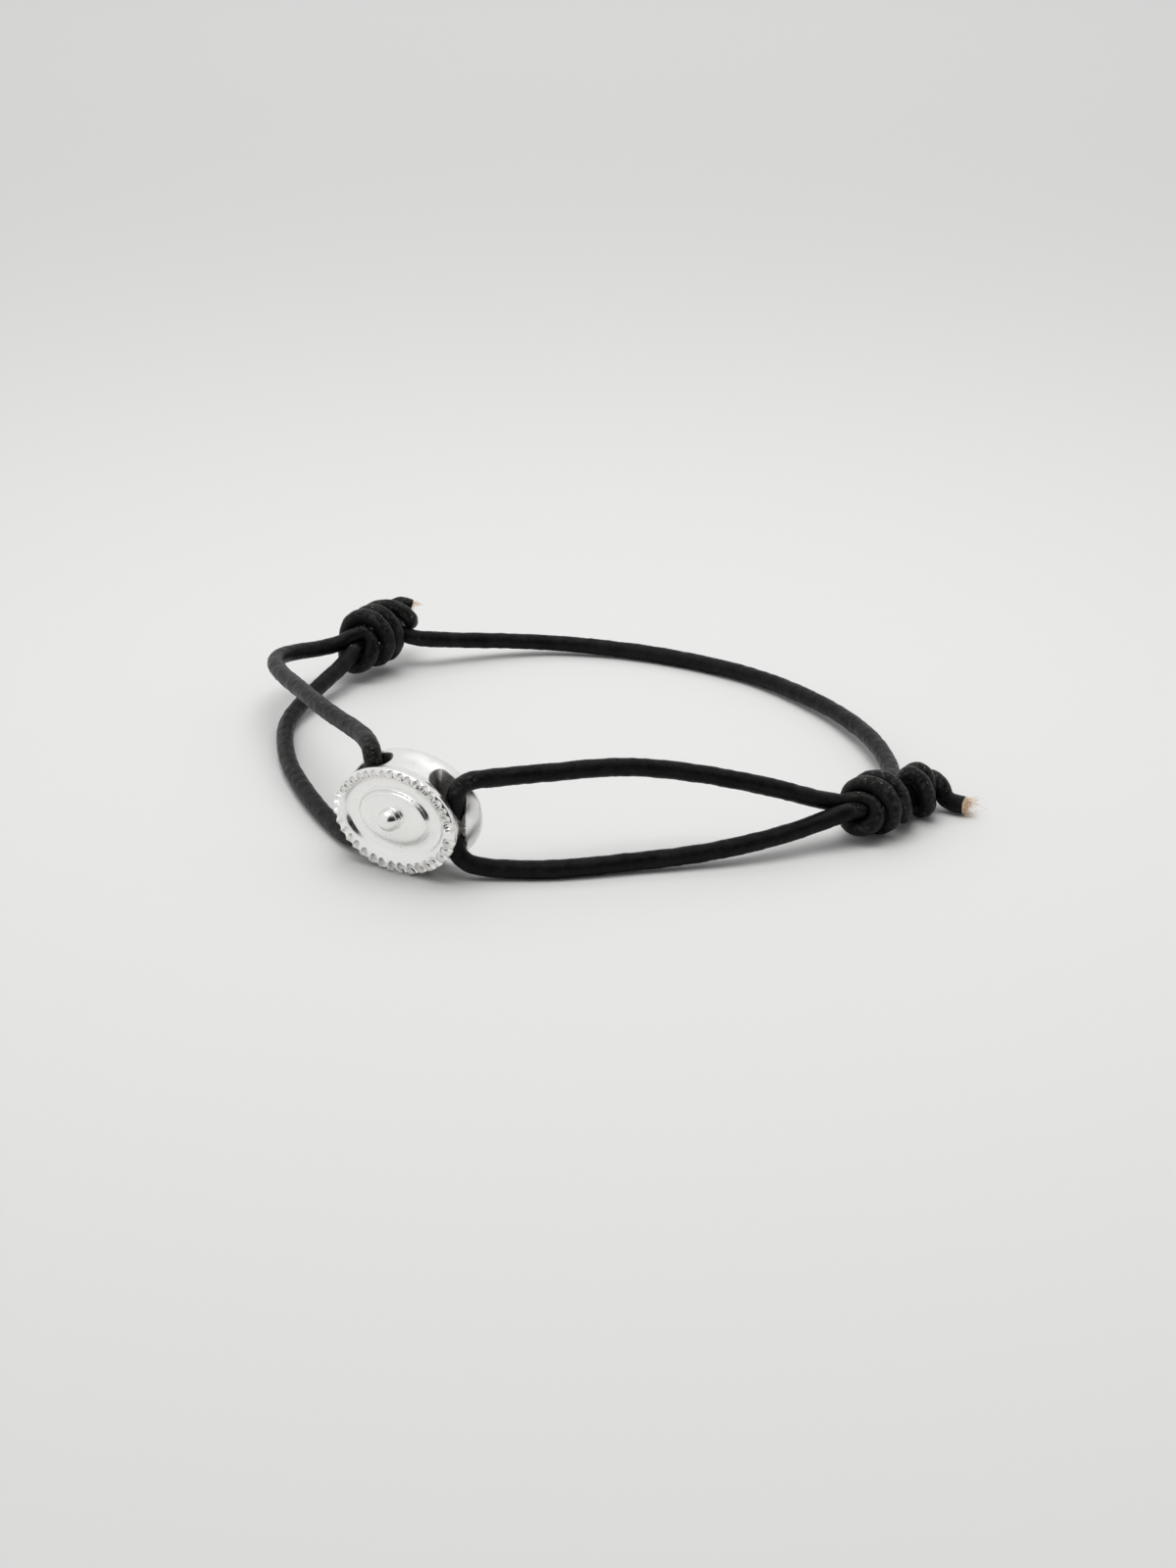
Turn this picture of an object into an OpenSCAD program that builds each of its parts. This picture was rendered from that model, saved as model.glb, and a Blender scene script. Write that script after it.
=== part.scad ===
// Sliding-knot leather bracelet with a small cast silver bead.
// Millimetres. X runs along the bead, the bead's face looks towards -Y, Z is up from the surface it lies on.

/* [Cord] */
// thickness of the round leather cord where it runs free
cord_thickness = 1.5; // [1.3:0.02:1.5]
// flat sides round the cord
cord_sides = 8; // [8:2:16]

/* [Bead] */
// length of the bead's oval
bead_length = 12.4; // [12:0.1:12.8]
// height of the bead's oval
bead_height = 9.3; // [9:0.1:9.6]
// depth of the bead from its back to its rim, without the ball
bead_depth = 4.2; // [4:0.1:4.4]
// notches cut round the front rim
notch_count = 42; // [30:2:48]
// depth of a notch
notch_depth = 0.22; // [0.05:0.01:0.3]
// diameter of the ball in the middle of the front
ball_diameter = 1.9; // [1.4:0.1:2.4]

/* [Knots] */
// advance of one turn of a sliding knot along its strand
turn_pitch = 1.5; // [1.46:0.01:1.56]
// rows worked out for one turn
rows_per_turn = 12; // [12:12:24]

/* [Hidden] */
leather = [0.07, 0.065, 0.06];
silver = [0.82, 0.82, 0.84];

// The loop's middle lies on the Z axis.
shift_x = 0.15;
shift_y = 0.96;

// How full the cord is: 1 where it runs free, less where a knot squeezes it.
free_full = 1;
turn_full = 0.96;

// Cord rows [x, y, z]: the right leg over the knot, from the knot to the bead.
right_upper_leg = [
    [24.1, -4.7, 3.9], [22.3, -6.8, 5], [19.6, -8.9, 6], [15.4, -11.6, 7], [11.5, -14.7, 7.7],
    [8, -18.6, 7.95], [5.2, -21.2, 7.95]];

// Down through the bead's right slot.
right_channel = [
    [3.9, -23, 8.1], [2.95, -24.25, 8.05], [2.35, -24.8, 7.15], [2.2, -24.8, 6], [2.15, -24.8, 4.5],
    [2.15, -24.8, 3.2], [2.3, -24.75, 2.2], [3, -24.6, 1.35]];

// Along the surface from the bead to the right knot.
right_lower_leg = [
    [4.4, -24, 0.95], [6.4, -22.8, 0.77], [9.6, -20.9, 0.76], [13.5, -17.4, 0.85], [17.3, -14.1, 1], [21, -10.6, 1.5],
    [24, -6.8, 2.05], [26.4, -3.95, 2.9]];

// Round the back from the right knot to the left knot.
back_run = [
    [26.2, 5.4, 2.15], [24.7, 8.7, 1.85], [21, 13.8, 1.6], [16.6, 17.9, 1.3], [12.4, 20.9, 1.1],
    [6.5, 23.8, 0.9], [1.1, 25.2, 0.8], [-5.8, 25.5, 0.75], [-12, 24.4, 0.85], [-17.6, 22, 1.15],
    [-22, 18.1, 1.8], [-25.6, 13.8, 2.6]];

// Along the surface from the left knot to the bead.
left_lower_leg = [
    [-28.9, 4.4, 2.4], [-28.7, 0.8, 1.85], [-27.8, -5.2, 1.1], [-25.7, -9.2, 0.85], [-22.4, -13.4, 0.76],
    [-18.6, -17, 0.76], [-13.6, -21, 0.78]];

// Up through the bead's left slot.
left_channel = [
    [-8.6, -24.2, 0.85], [-6.9, -24.7, 1.45], [-5.8, -24.7, 2.8], [-5.45, -24.7, 4.5], [-5.4, -24.7, 6.2],
    [-5.45, -24.75, 7.8]];

// The left leg, which swings out and comes back to its knot.
left_upper_leg = [
    [-5.8, -24.5, 8.95], [-7, -23.3, 9.15], [-8.9, -21.5, 8.8], [-12.7, -18.6, 8.1], [-16.6, -15.9, 7.6], [-21.4, -12, 6.8],
    [-26.1, -8.1, 5.9], [-29.6, -4.8, 5.2], [-31.8, -1.6, 4.6], [-32.1, 1.4, 4.1], [-31.6, 4.2, 3.6]];

// Sliding knots: where each stands, the direction of its strand in degrees, the half sizes of its turns
// [right, up], and the turn count at which the turns end. Both start three quarters of a turn in.
right_knot_at = [27.2, -2.55, 2.62];
right_knot_turned = 84;
right_turn_half = [1.95, 1.9];
right_turns_end = 2.25;
left_knot_at = [-29.15, 7.6, 3.6];
left_knot_turned = 90;
left_turn_half = [2.05, 2.2];
left_turns_end = 3;
first_turn_from = 0.75;
right_turns_ahead = 0.6;
left_turns_ahead = 0.5;

// Knot rows [right, up, along, full]: the leg crosses over its own strand and dips under it before it turns.
right_crossing = [
    [-1.65, 0.5, -0.45, 0.93], [-1, 0.85, 0.05, 0.76], [-0.15, 0.95, 0.5, 0.68], [0.65, 0.65, 0.7, 0.7],
    [1.15, 0, 0.45, 0.8], [1.15, -0.7, 0.1, 0.88], [0.7, -1.1, -0.25, 0.93], [0, -1.25, -0.45, 0.93],
    [-0.8, -1.2, -0.3, 0.93], [-1.55, -0.8, 0.2, 0.93]];
left_crossing = [
    [-1.3, 0.1, -1.3, 0.97], [-0.7, 0.6, -0.5, 0.86], [-0.05, 0.85, 0.2, 0.78], [0.55, 0.75, 0.5, 0.78],
    [1.1, 0.2, 0.35, 0.82], [1.35, -0.6, 0, 0.9], [1.2, -1.35, -0.4, 0.93], [0.55, -1.9, -0.75, 0.93],
    [-0.4, -2.05, -0.85, 0.93], [-1.3, -1.6, -0.4, 0.93]];

// The strand that runs through each sliding knot.
right_strand = [
    [0, 0, -0.1, 0.7], [-0.15, -0.3, 1, 0.7], [-0.1, -0.2, 2.1, 0.85], [-0.25, -0.1, 3.2, 0.9],
    [-0.75, 0, 4.6, 0.96]];
left_strand = [
    [1.95, -0.55, 5.2, 0.98], [0.85, -0.1, 4.45, 0.88], [0.15, -0.1, 3.3, 0.88], [-0.05, -0.25, 2.1, 0.85],
    [-0.05, -0.5, 0.9, 0.74], [0.05, -0.5, -0.3, 0.8], [0.1, -0.55, -1.3, 0.93]];

// From the last turn of a sliding knot to its end knot.
right_link = [[1.75, -1, 3.95, 0.93], [1.35, -1.6, 4.6, 0.93], [0.9, -1.4, 5.3, 0.93]];
left_link = [[0.85, 2.15, 4.65, 0.93], [1.5, 1.75, 5.05, 0.93]];

// The right end knot, from the right sliding knot to the cut end.
right_end_rows = [
    [28.7, 3.4, 1.6, 0.93], [28.75, 3.85, 2.4, 0.93], [28.35, 3.7, 3.1, 0.93], [28.4, 3.45, 3.75, 0.93],
    [28.9, 3.25, 4.1, 0.96], [29.5, 3.2, 3.95, 0.96], [29.95, 3.35, 3.4, 0.96], [30.2, 3.55, 2.65, 0.96],
    [30.3, 3.8, 1.9, 0.96], [30.15, 4.05, 1.2, 0.96], [29.65, 4.3, 0.78, 0.93], [28.85, 4.65, 0.8, 0.93],
    [28.2, 5, 1.35, 0.93], [27.95, 5.2, 2.15, 0.93], [27.95, 5.2, 2.9, 0.93], [28.2, 5.05, 3.5, 0.93],
    [28.75, 4.95, 3.8, 0.93], [29.3, 5, 3.65, 0.93], [29.6, 5.15, 3.05, 0.88], [29.65, 5.3, 2.35, 0.86],
    [29.5, 5.6, 1.7, 0.86], [29.2, 6.05, 1.2, 0.88], [28.65, 6.5, 1, 0.93], [28.15, 6.8, 1.35, 0.93],
    [28.1, 7, 1.9, 0.93], [28.5, 7, 2.35, 0.93], [29.1, 6.95, 2.5, 0.93], [29.8, 6.82, 2.35, 0.93],
    [30.35, 6.7, 1.9, 0.93], [30.6, 6.62, 1.3, 0.93], [31.05, 6.62, 0.95, 0.96], [31.8, 6.62, 0.86, 1],
    [32.55, 6.62, 0.86, 1]];

// The left end knot, in the rows of its sliding knot.
left_end_rows = [
    [1.85, 1.2, 5.5, 0.93], [1.75, 0.6, 6, 0.93], [1.2, 0.2, 6.5, 0.93], [0.4, 0.05, 6.75, 0.93],
    [-0.35, 0.2, 6.85, 0.93], [-0.85, 0.65, 7, 0.93], [-0.85, 1.2, 7.45, 0.93], [-0.35, 1.3, 7.95, 0.93],
    [0.2, 1, 8.35, 0.96]];

// Bead: its middle in the loop, and its profile from the back to the front.
bead_x = -2.45;
bead_y = -24.8;
// Profile columns [length, height, depth, rise, notched]: shares of the bead's own size, and a rise in mm.
bead_profile = [
    [0.9, 0.88, 0.488, 0, 0], [0.975, 0.968, 0.452, 0, 0], [1, 1, 0.357, 0, 0], [0.985, 0.98, 0.238, 0, 0],
    [0.945, 0.935, 0.071, -0.03, 0], [0.885, 0.91, -0.095, -0.06, 0], [0.86, 0.9, -0.214, -0.12, 0],
    [0.905, 0.93, -0.286, -0.17, 0.6], [0.926, 0.955, -0.369, -0.2, 1], [0.923, 0.953, -0.44, -0.2, 1],
    [0.887, 0.903, -0.495, -0.18, 0.8], [0.823, 0.817, -0.5, -0.05, 0.5], [0.75, 0.731, -0.452, 0.12, 0.1],
    [0.718, 0.677, -0.393, 0.13, 0], [0.629, 0.58, -0.369, 0.13, 0], [0.54, 0.484, -0.381, 0.13, 0],
    [0.505, 0.452, -0.464, 0.13, 0], [0.435, 0.366, -0.488, 0.13, 0], [0.194, 0.161, -0.505, 0.13, 0]];
angles_per_notch = 2;
back_centre_depth = 0.5;
front_centre_depth = -0.51;
front_rise = 0.13;
ball_forward = 2.4;
ball_facets = 48;

// Slots for the cord, upright through the bead: from and to along its length, from the bead's middle.
slot_width = 1.9;
slot_facets = 32;
right_slot = [2.5, 5.5];
left_slot = [-5.05, -1.3];
slot_rise = 12;

// Route: rows become one smooth cord.

function with_full(rows, full) = [for (r = rows) [r[0], r[1], r[2], full]];
function backwards(rows) = [for (i = [len(rows) - 1 : -1 : 0]) rows[i]];

// A knot row placed where its knot stands.
function placed(rows, at, turned) = [
    for (r = rows) [
        at[0] + r[0] * sin(turned) + r[2] * cos(turned),
        at[1] - r[0] * cos(turned) + r[2] * sin(turned),
        at[2] + r[1],
        r[3]]];

// Turns that advance along the strand, clockwise as they go.
function turns(half, pitch, from, to, ahead) = [
    for (i = [0 : round((to - from) * rows_per_turn)])
        let (turn = from + i / rows_per_turn)
            [
                half[0] * sin(360 * turn),
                half[1] * cos(360 * turn),
                pitch * (turn - 0.5) + ahead,
                turn_full]];

right_slide_rows = placed(
    concat(right_crossing,
        turns(right_turn_half, turn_pitch, first_turn_from, right_turns_end, right_turns_ahead),
        right_link),
    right_knot_at, right_knot_turned);
left_slide_rows = placed(
    concat(left_crossing,
        turns(left_turn_half, turn_pitch, first_turn_from, left_turns_end, left_turns_ahead),
        left_link),
    left_knot_at, left_knot_turned);
left_end_placed = placed(left_end_rows, left_knot_at, left_knot_turned);

main_rows = concat(
    with_full(right_upper_leg, free_full),
    with_full(right_channel, free_full),
    with_full(right_lower_leg, free_full),
    placed(right_strand, right_knot_at, right_knot_turned),
    with_full(back_run, free_full),
    placed(left_strand, left_knot_at, left_knot_turned),
    with_full(left_lower_leg, free_full),
    with_full(left_channel, free_full),
    with_full(left_upper_leg, free_full));

rows = concat(backwards(right_end_rows), backwards(right_slide_rows), main_rows, left_slide_rows, left_end_placed);

// The row where each piece starts: neighbours share that row's ring.
right_slide_start = len(right_end_rows) - 1;
main_start = right_slide_start + len(right_slide_rows);
left_slide_start = main_start + len(main_rows);
left_end_start = left_slide_start + len(left_slide_rows);
last_row = len(rows) - 1;

// Guide rows stand a little outside each bend, so that the smooth cord passes through the rows themselves.
function guide(i) =
    i < 0 ? 2 * rows[0] - rows[1] :
    i > last_row ? 2 * rows[last_row] - rows[last_row - 1] :
    i == 0 || i == last_row ? rows[i] :
    rows[i] - (rows[i - 1] - 2 * rows[i] + rows[i + 1]) / 6;
guides = [for (i = [-1 : last_row + 1]) guide(i)];

// Smooth cord at a row, and half-way to the next row.
function at_row(i) = (guides[i] + 4 * guides[i + 1] + guides[i + 2]) / 6;
function after_row(i) = (guides[i] + 23 * guides[i + 1] + 23 * guides[i + 2] + guides[i + 3]) / 48;

// Knots take a ring at each row and half-way between, the long run one ring a row.
function in_knot(i) = i < main_start || i >= left_slide_start;
rings = [for (i = [0 : last_row]) each (in_knot(i) && i < last_row ? [at_row(i), after_row(i)] : [at_row(i)])];
function ring_of_row(i) = i <= main_start ? 2 * i : i <= left_slide_start ? i + main_start : 2 * i + main_start - left_slide_start;

function middle(ring) = [ring[0], ring[1], ring[2]];
function unit(v) = v / norm(v);
last_ring = len(rings) - 1;
function heading(i) = unit(middle(rings[min(i + 1, last_ring)]) - middle(rings[max(i - 1, 0)]));

// Each ring's side direction is carried on from the ring before, so the cord does not twist.
sides_along = [
    for (i = 0, side = unit(cross(heading(0), [0, 0, 1]));
        i <= last_ring;
        i = i + 1, side = unit(side - (side * heading(min(i, last_ring))) * heading(min(i, last_ring))))
            side];

function ring_points(i) =
    let (ring = rings[i], radius = cord_thickness / 2 * ring[3], side = sides_along[i], up = cross(heading(i), side))
        [for (k = [0 : cord_sides - 1])
            [shift_x, shift_y, 0] + middle(ring)
                + radius * (cos(360 * k / cord_sides) * side + sin(360 * k / cord_sides) * up)];

module tube(from_row, to_row) {
    first = ring_of_row(from_row);
    last = ring_of_row(to_row);
    points = [for (i = [first : last]) each ring_points(i)];
    count = last - first;
    start_cap = [for (k = [1 : cord_sides - 2]) [0, k, k + 1]];
    end_cap = [for (k = [1 : cord_sides - 2]) [count * cord_sides, count * cord_sides + k + 1, count * cord_sides + k]];
    walls = [
        for (i = [0 : count - 1], k = [0 : cord_sides - 1])
            let (a = i * cord_sides + k, b = i * cord_sides + (k + 1) % cord_sides)
                each [[a, a + cord_sides, b], [b, a + cord_sides, b + cord_sides]]];
    polyhedron(points = points, faces = concat(start_cap, end_cap, walls));
}

// Bead.

bead_angles = notch_count * angles_per_notch;

// A station of the profile, its oval pulled in at each notch.
function bead_ring(station) = [
    for (k = [0 : bead_angles - 1])
        let (cut = notch_depth * station[4] * (1 - cos(360 * k / angles_per_notch)) / 2)
            [
                (bead_length / 2 * station[0] - cut) * cos(360 * k / bead_angles),
                bead_depth * station[2],
                (bead_height / 2 * station[1] - cut) * sin(360 * k / bead_angles) + station[3]]];

module bead_body() {
    stations = len(bead_profile);
    points = concat(
        [for (station = bead_profile) each bead_ring(station)],
        [[0, bead_depth * back_centre_depth, 0], [0, bead_depth * front_centre_depth, front_rise]]);
    back_centre = stations * bead_angles;
    front_centre = back_centre + 1;
    front_start = (stations - 1) * bead_angles;
    back_face = [for (k = [0 : bead_angles - 1]) [back_centre, k, (k + 1) % bead_angles]];
    front_face = [for (k = [0 : bead_angles - 1]) [front_centre, front_start + (k + 1) % bead_angles, front_start + k]];
    walls = [
        for (i = [0 : stations - 2], k = [0 : bead_angles - 1])
            let (a = i * bead_angles + k, b = i * bead_angles + (k + 1) % bead_angles)
                each [[a, a + bead_angles, b], [b, a + bead_angles, b + bead_angles]]];
    polyhedron(points = points, faces = concat(back_face, front_face, walls));
}

module slot(span) {
    reach = slot_width / 2;
    translate([0, 0, -slot_rise / 2]) linear_extrude(slot_rise) {
        translate([span[0] + reach, -reach]) square([span[1] - span[0] - slot_width, slot_width]);
        translate([span[0] + reach, 0]) circle(d = slot_width, $fn = slot_facets);
        translate([span[1] - reach, 0]) circle(d = slot_width, $fn = slot_facets);
    }
}

module silver_bead() {
    color(silver) translate([bead_x + shift_x, bead_y + shift_y, bead_height / 2]) {
        difference() {
            bead_body();
            slot(right_slot);
            slot(left_slot);
        }
        translate([0, -ball_forward, front_rise]) sphere(d = ball_diameter, $fn = ball_facets);
    }
}

module leather_cord() {
    color(leather) tube(main_start, left_slide_start);
}

module right_sliding_knot() {
    color(leather) tube(right_slide_start, main_start);
}

module left_sliding_knot() {
    color(leather) tube(left_slide_start, left_end_start);
}

module right_end_knot() {
    color(leather) tube(0, right_slide_start);
}

module left_end_knot() {
    color(leather) tube(left_end_start, last_row);
}

silver_bead();
leather_cord();
right_sliding_knot();
left_sliding_knot();
right_end_knot();
left_end_knot();
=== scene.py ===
"""Looks of the sliding-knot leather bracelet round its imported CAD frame. Metres, in the part's frame."""
import math
import random

import bmesh
import bpy
import numpy as np
from mathutils import Matrix, Vector, noise


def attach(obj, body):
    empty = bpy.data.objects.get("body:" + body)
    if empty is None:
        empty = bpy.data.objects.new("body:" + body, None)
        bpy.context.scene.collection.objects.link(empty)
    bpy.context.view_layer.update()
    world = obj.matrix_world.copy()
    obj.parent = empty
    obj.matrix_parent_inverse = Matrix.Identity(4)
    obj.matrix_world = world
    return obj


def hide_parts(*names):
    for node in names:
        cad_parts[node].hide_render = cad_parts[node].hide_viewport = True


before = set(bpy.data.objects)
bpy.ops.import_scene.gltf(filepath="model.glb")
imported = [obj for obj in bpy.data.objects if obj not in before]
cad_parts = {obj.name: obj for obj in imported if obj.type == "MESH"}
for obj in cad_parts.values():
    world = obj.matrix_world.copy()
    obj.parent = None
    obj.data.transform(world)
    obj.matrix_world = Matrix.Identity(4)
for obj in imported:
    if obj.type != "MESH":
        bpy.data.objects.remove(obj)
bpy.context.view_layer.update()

MM = 0.001

# Camera: at the photograph's angle to the bracelet, aimed at a point on the surface that it lies on.
CAMERA_AIM = Vector((0.00215, -0.00254, 0))
CAMERA_AZIMUTH = math.radians(30)
CAMERA_ELEVATION = math.radians(23.25)
CAMERA_DISTANCE = 0.2354
CAMERA_LENS = 62.96
CAMERA_SENSOR = 36
CAMERA_CLIP = (0.01, 20)

# The loop's middle lies on the Z axis: every row of the route moves by this much.
LOOP_SHIFT = np.array([0.00015, 0.00096, 0])

# The cord, and how full it is: 1 where it runs free, less where a knot squeezes it.
CORD_THICKNESS = 0.0015
FREE_FULL = 1
TURN_FULL = 0.96

# Route rows (x, y, z): the right leg over the knot, from the knot to the bead.
RIGHT_UPPER_LEG = [
    (0.0241, -0.0047, 0.0039), (0.0223, -0.0068, 0.005), (0.0196, -0.0089, 0.006),
    (0.0154, -0.0116, 0.007), (0.0115, -0.0147, 0.0077), (0.008, -0.0186, 0.00795),
    (0.0052, -0.0212, 0.00795),
]
# Down through the bead's right slot.
RIGHT_CHANNEL = [
    (0.0039, -0.023, 0.0081), (0.00295, -0.02425, 0.00805), (0.00235, -0.0248, 0.00715),
    (0.0022, -0.0248, 0.006), (0.00215, -0.0248, 0.0045), (0.00215, -0.0248, 0.0032),
    (0.0023, -0.02475, 0.0022), (0.003, -0.0246, 0.00135),
]
# Along the surface from the bead to the right knot.
RIGHT_LOWER_LEG = [
    (0.0044, -0.024, 0.00095), (0.0064, -0.0228, 0.00077), (0.0096, -0.0209, 0.00076),
    (0.0135, -0.0174, 0.00085), (0.0173, -0.0141, 0.001), (0.021, -0.0106, 0.0015),
    (0.024, -0.0068, 0.00205), (0.0264, -0.00395, 0.0029),
]
# Round the back from the right knot to the left knot.
BACK_RUN = [
    (0.0262, 0.0054, 0.00215), (0.0247, 0.0087, 0.00185), (0.021, 0.0138, 0.0016),
    (0.0166, 0.0179, 0.0013), (0.0124, 0.0209, 0.0011), (0.0065, 0.0238, 0.0009),
    (0.0011, 0.0252, 0.0008), (-0.0058, 0.0255, 0.00075), (-0.012, 0.0244, 0.00085),
    (-0.0176, 0.022, 0.00115), (-0.022, 0.0181, 0.0018), (-0.0256, 0.0138, 0.0026),
]
# Along the surface from the left knot to the bead.
LEFT_LOWER_LEG = [
    (-0.0289, 0.0044, 0.0024), (-0.0287, 0.0008, 0.00185), (-0.0278, -0.0052, 0.0011),
    (-0.0257, -0.0092, 0.00085), (-0.0224, -0.0134, 0.00076), (-0.0186, -0.017, 0.00076),
    (-0.0136, -0.021, 0.00078),
]
# Up through the bead's left slot.
LEFT_CHANNEL = [
    (-0.0086, -0.0242, 0.00085), (-0.0069, -0.0247, 0.00145), (-0.0058, -0.0247, 0.0028),
    (-0.00545, -0.0247, 0.0045), (-0.0054, -0.0247, 0.0062), (-0.00545, -0.02475, 0.0078),
]
# The left leg, which swings out and comes back to its knot.
LEFT_UPPER_LEG = [
    (-0.0058, -0.0245, 0.00895), (-0.007, -0.0233, 0.00915), (-0.0089, -0.0215, 0.0088),
    (-0.0127, -0.0186, 0.0081), (-0.0166, -0.0159, 0.0076), (-0.0214, -0.012, 0.0068),
    (-0.0261, -0.0081, 0.0059), (-0.0296, -0.0048, 0.0052), (-0.0318, -0.0016, 0.0046),
    (-0.0321, 0.0014, 0.0041), (-0.0316, 0.0042, 0.0036),
]

# Sliding knots: where each stands, the direction of its strand in degrees, and its turns.
RIGHT_KNOT = {
    "at": (0.0272, -0.00255, 0.00262), "turned": 84, "half": (0.00195, 0.0019), "end": 2.25, "ahead": 0.0006}
LEFT_KNOT = {
    "at": (-0.02915, 0.0076, 0.0036), "turned": 90, "half": (0.00205, 0.0022), "end": 3, "ahead": 0.0005}
TURN_PITCH = 0.0015
ROWS_PER_TURN = 12
FIRST_TURN_FROM = 0.75

# Knot rows (right, up, along, full): the leg crosses over its own strand and dips under it before it turns.
RIGHT_CROSSING = [
    (-0.00165, 0.0005, -0.00045, 0.93), (-0.001, 0.00085, 0.00005, 0.76),
    (-0.00015, 0.00095, 0.0005, 0.68), (0.00065, 0.00065, 0.0007, 0.7), (0.00115, 0, 0.00045, 0.8),
    (0.00115, -0.0007, 0.0001, 0.88), (0.0007, -0.0011, -0.00025, 0.93), (0, -0.00125, -0.00045, 0.93),
    (-0.0008, -0.0012, -0.0003, 0.93), (-0.00155, -0.0008, 0.0002, 0.93),
]
LEFT_CROSSING = [
    (-0.0013, 0.0001, -0.0013, 0.97), (-0.0007, 0.0006, -0.0005, 0.86),
    (-0.00005, 0.00085, 0.0002, 0.78), (0.00055, 0.00075, 0.0005, 0.78),
    (0.0011, 0.0002, 0.00035, 0.82), (0.00135, -0.0006, 0, 0.9), (0.0012, -0.00135, -0.0004, 0.93),
    (0.00055, -0.0019, -0.00075, 0.93), (-0.0004, -0.00205, -0.00085, 0.93),
    (-0.0013, -0.0016, -0.0004, 0.93),
]
# The strand that runs through each sliding knot.
RIGHT_STRAND = [
    (0, 0, -0.0001, 0.7), (-0.00015, -0.0003, 0.001, 0.7), (-0.0001, -0.0002, 0.0021, 0.85),
    (-0.00025, -0.0001, 0.0032, 0.9), (-0.00075, 0, 0.0046, 0.96),
]
LEFT_STRAND = [
    (0.00195, -0.00055, 0.0052, 0.98), (0.00085, -0.0001, 0.00445, 0.88),
    (0.00015, -0.0001, 0.0033, 0.88), (-0.00005, -0.00025, 0.0021, 0.85),
    (-0.00005, -0.0005, 0.0009, 0.74), (0.00005, -0.0005, -0.0003, 0.8),
    (0.0001, -0.00055, -0.0013, 0.93),
]
# From the last turn of a sliding knot to its end knot.
RIGHT_LINK = [
    (0.00175, -0.001, 0.00395, 0.93), (0.00135, -0.0016, 0.0046, 0.93), (0.0009, -0.0014, 0.0053, 0.93),
]
LEFT_LINK = [
    (0.00085, 0.00215, 0.00465, 0.93), (0.0015, 0.00175, 0.00505, 0.93),
]

# The right end knot, from the right sliding knot to the cut end.
RIGHT_END_ROWS = [
    (0.0287, 0.0034, 0.0016, 0.93), (0.02875, 0.00385, 0.0024, 0.93), (0.02835, 0.0037, 0.0031, 0.93),
    (0.0284, 0.00345, 0.00375, 0.93), (0.0289, 0.00325, 0.0041, 0.96), (0.0295, 0.0032, 0.00395, 0.96),
    (0.02995, 0.00335, 0.0034, 0.96), (0.0302, 0.00355, 0.00265, 0.96), (0.0303, 0.0038, 0.0019, 0.96),
    (0.03015, 0.00405, 0.0012, 0.96), (0.02965, 0.0043, 0.00078, 0.93),
    (0.02885, 0.00465, 0.0008, 0.93), (0.0282, 0.005, 0.00135, 0.93), (0.02795, 0.0052, 0.00215, 0.93),
    (0.02795, 0.0052, 0.0029, 0.93), (0.0282, 0.00505, 0.0035, 0.93), (0.02875, 0.00495, 0.0038, 0.93),
    (0.0293, 0.005, 0.00365, 0.93), (0.0296, 0.00515, 0.00305, 0.88), (0.02965, 0.0053, 0.00235, 0.86),
    (0.0295, 0.0056, 0.0017, 0.86), (0.0292, 0.00605, 0.0012, 0.88), (0.02865, 0.0065, 0.001, 0.93),
    (0.02815, 0.0068, 0.00135, 0.93), (0.0281, 0.007, 0.0019, 0.93), (0.0285, 0.007, 0.00235, 0.93),
    (0.0291, 0.00695, 0.0025, 0.93), (0.0298, 0.00682, 0.00235, 0.93), (0.03035, 0.0067, 0.0019, 0.93),
    (0.0306, 0.00662, 0.0013, 0.93), (0.03105, 0.00662, 0.00095, 0.96), (0.0318, 0.00662, 0.00086, 1),
    (0.03255, 0.00662, 0.00086, 1),
]
# The left end knot, in the rows of its sliding knot.
LEFT_END_ROWS = [
    (0.00185, 0.0012, 0.0055, 0.93), (0.00175, 0.0006, 0.006, 0.93), (0.0012, 0.0002, 0.0065, 0.93),
    (0.0004, 0.00005, 0.00675, 0.93), (-0.00035, 0.0002, 0.00685, 0.93),
    (-0.00085, 0.00065, 0.007, 0.93), (-0.00085, 0.0012, 0.00745, 0.93),
    (-0.00035, 0.0013, 0.00795, 0.93), (0.0002, 0.001, 0.00835, 0.96),
]

# Cord surface: points round each ring, from ring to ring, curve samples for each row, and how much fuller
# the cord looks in its knots than its rows say.
CORD_SIDES = 40
RING_SPACING = 0.1 * MM
SAMPLES_PER_ROW = 24
KNOT_SWELL = 0.06
# A ring counts as squeezed where it is less full than this.
NEARLY_FULL = 0.999
# How many rings each way the cord's thickness, its bend and the reach of its knots are spread over.
THICKNESS_SPREAD = 6
BEND_SPREAD = 4
KNOT_SPREAD = 90
# Where the cord lies against itself: the gap left there, how near that is, how far along the cord it is still
# the same strand, and how little a point has to face the other strand to be pressed.
CONTACT_GAP = 0.006 * MM
CONTACT_REACH = 1.9 * MM
SAME_STRAND = 1.5 * MM
FACING_LEAST = 1e-6
# How often the surface is softened, so that its pressed flats have round edges.
SOFTENING_ROUNDS = 2
# Unevenness of the leather's surface: (size of a bump, height of a bump).
UNEVENNESS = [(4 * MM, 0.016 * MM), (0.9 * MM, 0.045 * MM), (0.3 * MM, 0.022 * MM)]
# How far each layer of the unevenness is moved, in bumps, so that no two line up.
LAYER_SHIFT = (0.37, 0.71, 0.13)
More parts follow.
